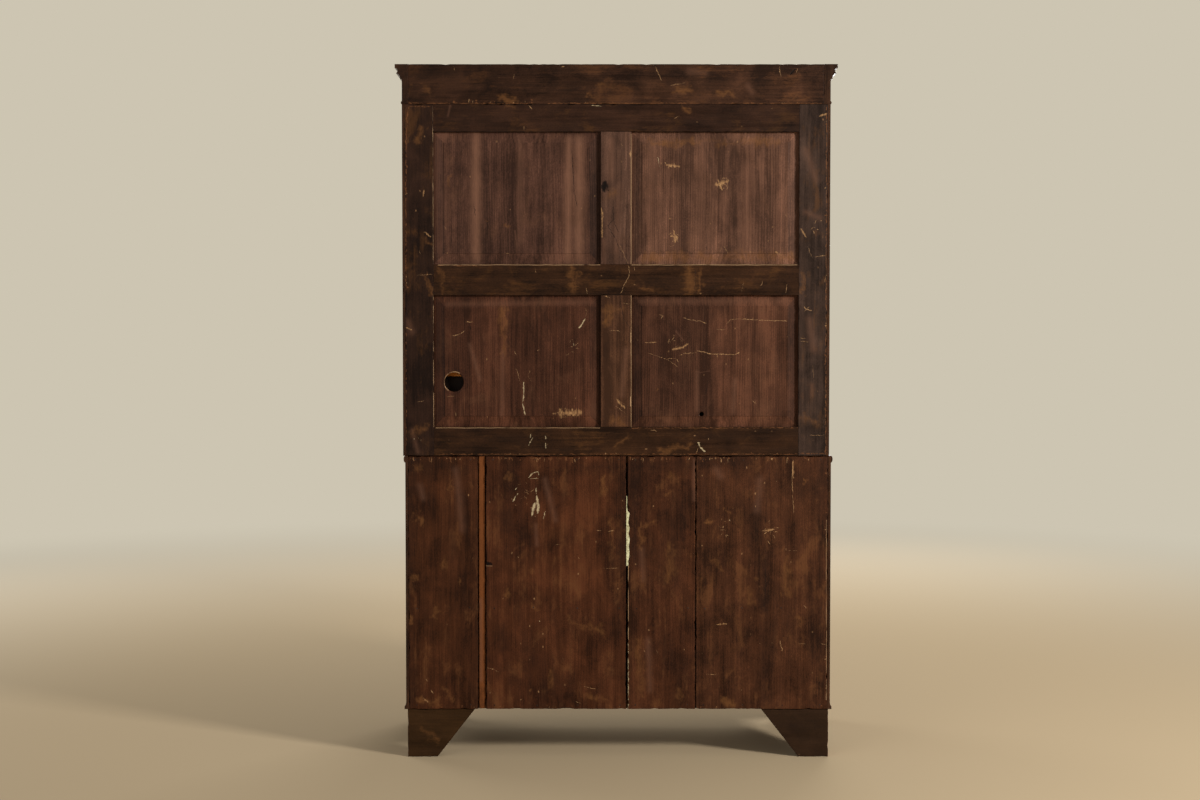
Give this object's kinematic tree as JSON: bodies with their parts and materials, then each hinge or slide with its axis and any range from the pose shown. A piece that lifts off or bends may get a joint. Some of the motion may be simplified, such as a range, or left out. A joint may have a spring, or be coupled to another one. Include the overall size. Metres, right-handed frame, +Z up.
{
  "type": "linen press",
  "caption": "Wooden linen press: cupboard with two hinged panelled doors and sliding trays, on a chest of drawers with bracket feet; framed and panelled back.",
  "frame": {"origin": "on the floor, under the middle of the box round the press as it stands with both doors open at right angles; the cupboard is centred on x = 0 and the chest below it on x = -0.006, with their back plane at y = 0.5965 and the closed front at y = 0.0365", "axes": "+Z up, -Y the way the front faces and the drawers open, +X to the right of someone facing the front"},
  "size_m": [1.378, 1.193, 2.083],
  "materials": {
    "carcass_wood": "dark brown stain, worn satin",
    "cornice_wood": "dark brown stain, worn satin",
    "back_panel_wood": "reddish brown stain, scratched satin",
    "back_board_wood": "brown stain, dry and rubbed",
    "strip_wood": "redder bare softwood",
    "front_wood": "french polished mahogany colour",
    "lining_wood": "dry unpolished lining timber",
    "hinge_brass": "dull old brass"
  },
  "bodies": {
    "carcass": {"cornice_frame": "cornice_wood", "cornice_back_board": "cornice_wood", "cornice_top_board": "cornice_wood", "upper_left_side": "carcass_wood", "upper_right_side": "carcass_wood", "upper_bottom_board": "carcass_wood", "upper_top_board": "carcass_wood", "back_left_stile": "carcass_wood", "back_right_stile": "carcass_wood", "back_bottom_rail": "carcass_wood", "back_middle_rail": "carcass_wood", "back_top_rail": "carcass_wood", "back_lower_muntin": "carcass_wood", "back_upper_muntin": "carcass_wood", "back_panel_lower_left": "back_panel_wood", "back_panel_lower_right": "back_panel_wood", "back_panel_upper_left": "back_panel_wood", "back_panel_upper_right": "back_panel_wood", "left_lower_hinge_carcass_leaf": "hinge_brass", "left_upper_hinge_carcass_leaf": "hinge_brass", "right_lower_hinge_carcass_leaf": "hinge_brass", "right_upper_hinge_carcass_leaf": "hinge_brass", "lower_left_side": "carcass_wood", "lower_right_side": "carcass_wood", "lower_top_board": "carcass_wood", "lower_bottom_board": "carcass_wood", "lower_dust_board": "carcass_wood", "upper_dust_board": "carcass_wood", "waist_moulding": "cornice_wood", "base_moulding": "cornice_wood", "lower_back_board_1": "back_board_wood", "lower_back_board_2": "back_board_wood", "lower_back_board_3": "back_board_wood", "lower_back_board_4": "back_board_wood", "lower_back_strip": "strip_wood", "front_left_foot": "cornice_wood", "front_right_foot": "cornice_wood", "rear_left_foot": "back_board_wood", "rear_right_foot": "back_board_wood"},
    "left_door": {"left_door_frame": "front_wood", "left_door_panel": "front_wood", "left_lower_hinge_door_leaf": "hinge_brass", "left_upper_hinge_door_leaf": "hinge_brass"},
    "right_door": {"right_door_frame": "front_wood", "right_door_panel": "front_wood", "right_lower_hinge_door_leaf": "hinge_brass", "right_upper_hinge_door_leaf": "hinge_brass"},
    "tray_1": {"linen_tray_1": "lining_wood"},
    "tray_2": {"linen_tray_2": "lining_wood"},
    "tray_3": {"linen_tray_3": "lining_wood"},
    "tray_4": {"linen_tray_4": "lining_wood"},
    "tray_5": {"linen_tray_5": "lining_wood"},
    "left_short_drawer": {"left_short_drawer_front": "front_wood", "left_short_drawer_box": "lining_wood"},
    "right_short_drawer": {"right_short_drawer_front": "front_wood", "right_short_drawer_box": "lining_wood"},
    "middle_long_drawer": {"middle_long_drawer_front": "front_wood", "middle_long_drawer_box": "lining_wood"},
    "bottom_long_drawer": {"bottom_long_drawer_front": "front_wood", "bottom_long_drawer_box": "lining_wood"}
  },
  "joints": [
    {"name": "left_door_hinge", "type": "hinge", "parent": "carcass", "child": "left_door", "pos_m": [-0.6435, 0.058, 1.4385], "axis": [0, 0, -1], "range_deg": [-90, 90]},
    {"name": "right_door_hinge", "type": "hinge", "parent": "carcass", "child": "right_door", "pos_m": [0.6435, 0.058, 1.4385], "axis": [0, 0, 1], "range_deg": [-90, 90]},
    {"name": "tray_1_slide", "type": "slide", "parent": "carcass", "child": "tray_1", "axis": [0, -1, 0], "range_m": [0, 0.4]},
    {"name": "tray_2_slide", "type": "slide", "parent": "carcass", "child": "tray_2", "axis": [0, -1, 0], "range_m": [0, 0.4]},
    {"name": "tray_3_slide", "type": "slide", "parent": "carcass", "child": "tray_3", "axis": [0, -1, 0], "range_m": [0, 0.4]},
    {"name": "tray_4_slide", "type": "slide", "parent": "carcass", "child": "tray_4", "axis": [0, -1, 0], "range_m": [0, 0.4]},
    {"name": "tray_5_slide", "type": "slide", "parent": "carcass", "child": "tray_5", "axis": [0, -1, 0], "range_m": [0, 0.4]},
    {"name": "left_short_drawer_slide", "type": "slide", "parent": "carcass", "child": "left_short_drawer", "axis": [0, -1, 0], "range_m": [0, 0.42]},
    {"name": "right_short_drawer_slide", "type": "slide", "parent": "carcass", "child": "right_short_drawer", "axis": [0, -1, 0], "range_m": [0, 0.42]},
    {"name": "middle_long_drawer_slide", "type": "slide", "parent": "carcass", "child": "middle_long_drawer", "axis": [0, -1, 0], "range_m": [0, 0.42]},
    {"name": "bottom_long_drawer_slide", "type": "slide", "parent": "carcass", "child": "bottom_long_drawer", "axis": [0, -1, 0], "range_m": [0, 0.42]}
  ]
}
